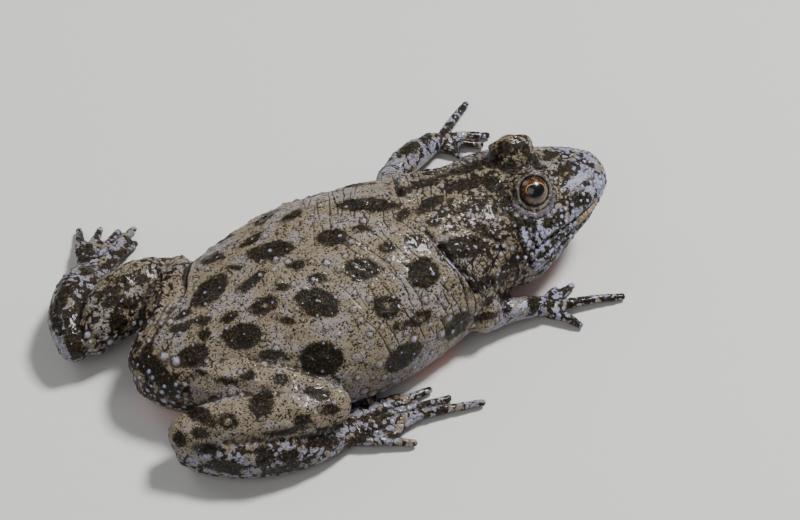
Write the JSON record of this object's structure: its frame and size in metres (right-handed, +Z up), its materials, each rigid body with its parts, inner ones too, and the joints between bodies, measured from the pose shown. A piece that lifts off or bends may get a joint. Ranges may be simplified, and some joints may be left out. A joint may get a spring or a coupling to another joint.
{
  "type": "fire bellied toad",
  "caption": "Life-size fire-bellied toad resting on its belly, hind legs folded at its sides, forelegs forward and head raised, as a still model",
  "frame": {"origin": "centre of the toad's bounding box, at the level of the ground it rests on", "axes": "+X towards the snout, +Y towards the toad's left, +Z up"},
  "size_m": [0.0506, 0.0364, 0.0117],
  "materials": {
    "skin_back": "moist grey-brown skin with small warts and dark olive-brown blotches, moderate gloss",
    "skin_head": "moist speckled blue-grey and brown skin, glossy on the snout and lips",
    "skin_hind": "moist lilac-grey skin with dark bands and small warts, moderate gloss",
    "skin_fore": "moist pale blue-grey skin with dark bands, moderate gloss",
    "eye": "wet, copper-brown iris with a black pupil, high gloss"
  },
  "bodies": {
    "root": {"torso": "skin_back", "head": "skin_head", "eye_right": "eye", "eye_left": "eye", "upper_arm_right": "skin_fore", "forearm_right": "skin_fore", "hand_right": "skin_fore", "upper_arm_left": "skin_fore", "forearm_left": "skin_fore", "hand_left": "skin_fore", "thigh_right": "skin_hind", "shank_right": "skin_hind", "foot_right": "skin_hind", "thigh_left": "skin_hind", "shank_left": "skin_hind", "foot_left": "skin_hind"}
  },
  "joints": []
}
